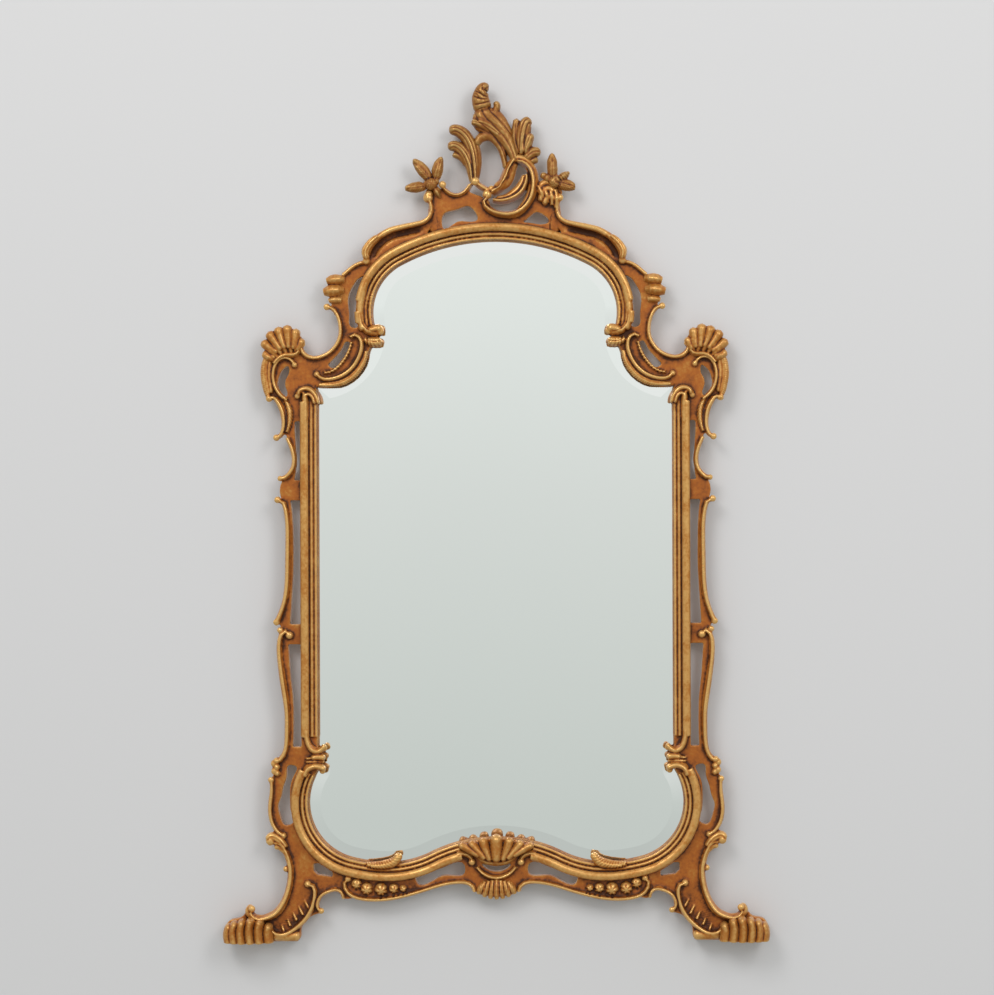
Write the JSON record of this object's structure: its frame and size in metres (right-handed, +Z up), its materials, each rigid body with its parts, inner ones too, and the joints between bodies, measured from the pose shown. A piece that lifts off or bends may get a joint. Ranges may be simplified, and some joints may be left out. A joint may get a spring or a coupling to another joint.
{
  "type": "giltwood wall mirror",
  "caption": "Carved and pierced giltwood rococo wall mirror with arched bevelled glass, shell ears, scroll feet and an asymmetric leaf crest, hung from rings on its back.",
  "frame": {"origin": "on the wall plane, midway between the two points where the wall hooks bear in the hanging rings", "axes": "+Z up, +Y into the wall, +X to the right as seen from the front"},
  "size_m": [0.8698, 0.0595, 1.3648],
  "materials": {
    "gilt_wood": "water-gilt gold leaf over red bole, rubbed, with dark glaze in the hollows",
    "gilt_crest": "the same gilding, toned darker",
    "mirror_glass": "silvered plate with a ground and polished bevel",
    "black_felt": "thin felt strip",
    "grey_felt": "soft sheet",
    "plywood": "plain birch plywood",
    "screw_steel": "plated steel",
    "dowel_wood": "plain beech",
    "hanger_brass": "pressed sheet",
    "ring_brass": "bent wire",
    "pad_felt": "pressed felt"
  },
  "bodies": {
    "frame": {"left_head": "gilt_wood", "right_head": "gilt_wood", "left_shoulder": "gilt_wood", "right_shoulder": "gilt_wood", "left_stile": "gilt_wood", "right_stile": "gilt_wood", "left_foot": "gilt_wood", "right_foot": "gilt_wood", "bottom_rail": "gilt_wood", "left_ear_shell": "gilt_wood", "right_ear_shell": "gilt_wood", "left_shoulder_knob": "gilt_wood", "right_shoulder_knob": "gilt_wood", "left_toe": "gilt_wood", "right_toe": "gilt_wood", "sill_shell": "gilt_wood", "apron_shell": "gilt_wood", "crest": "gilt_crest", "crest_plume": "gilt_crest", "crest_left_leaf": "gilt_crest", "crest_right_leaf": "gilt_crest", "left_flower": "gilt_crest", "right_flower": "gilt_crest", "mirror_plate": "mirror_glass", "seat_tape": "black_felt", "backing_felt": "grey_felt", "backboard": "plywood", "backboard_screws": "screw_steel", "hanger_screws": "screw_steel", "joint_dowels": "dowel_wood", "crest_dowels": "dowel_wood", "left_hanger_strap": "hanger_brass", "right_hanger_strap": "hanger_brass", "wall_pads": "pad_felt"},
    "left_ring": {"left_hanger_ring": "ring_brass"},
    "right_ring": {"right_hanger_ring": "ring_brass"}
  },
  "joints": [
    {"name": "left_ring_pivot", "type": "hinge", "parent": "frame", "child": "left_ring", "pos_m": [-0.3135, -0.003, -0.0135], "axis": [-1, 0, 0], "range_deg": [0, 165]},
    {"name": "right_ring_pivot", "type": "hinge", "parent": "frame", "child": "right_ring", "pos_m": [0.3135, -0.003, -0.0135], "axis": [-1, 0, 0], "range_deg": [0, 165]}
  ]
}
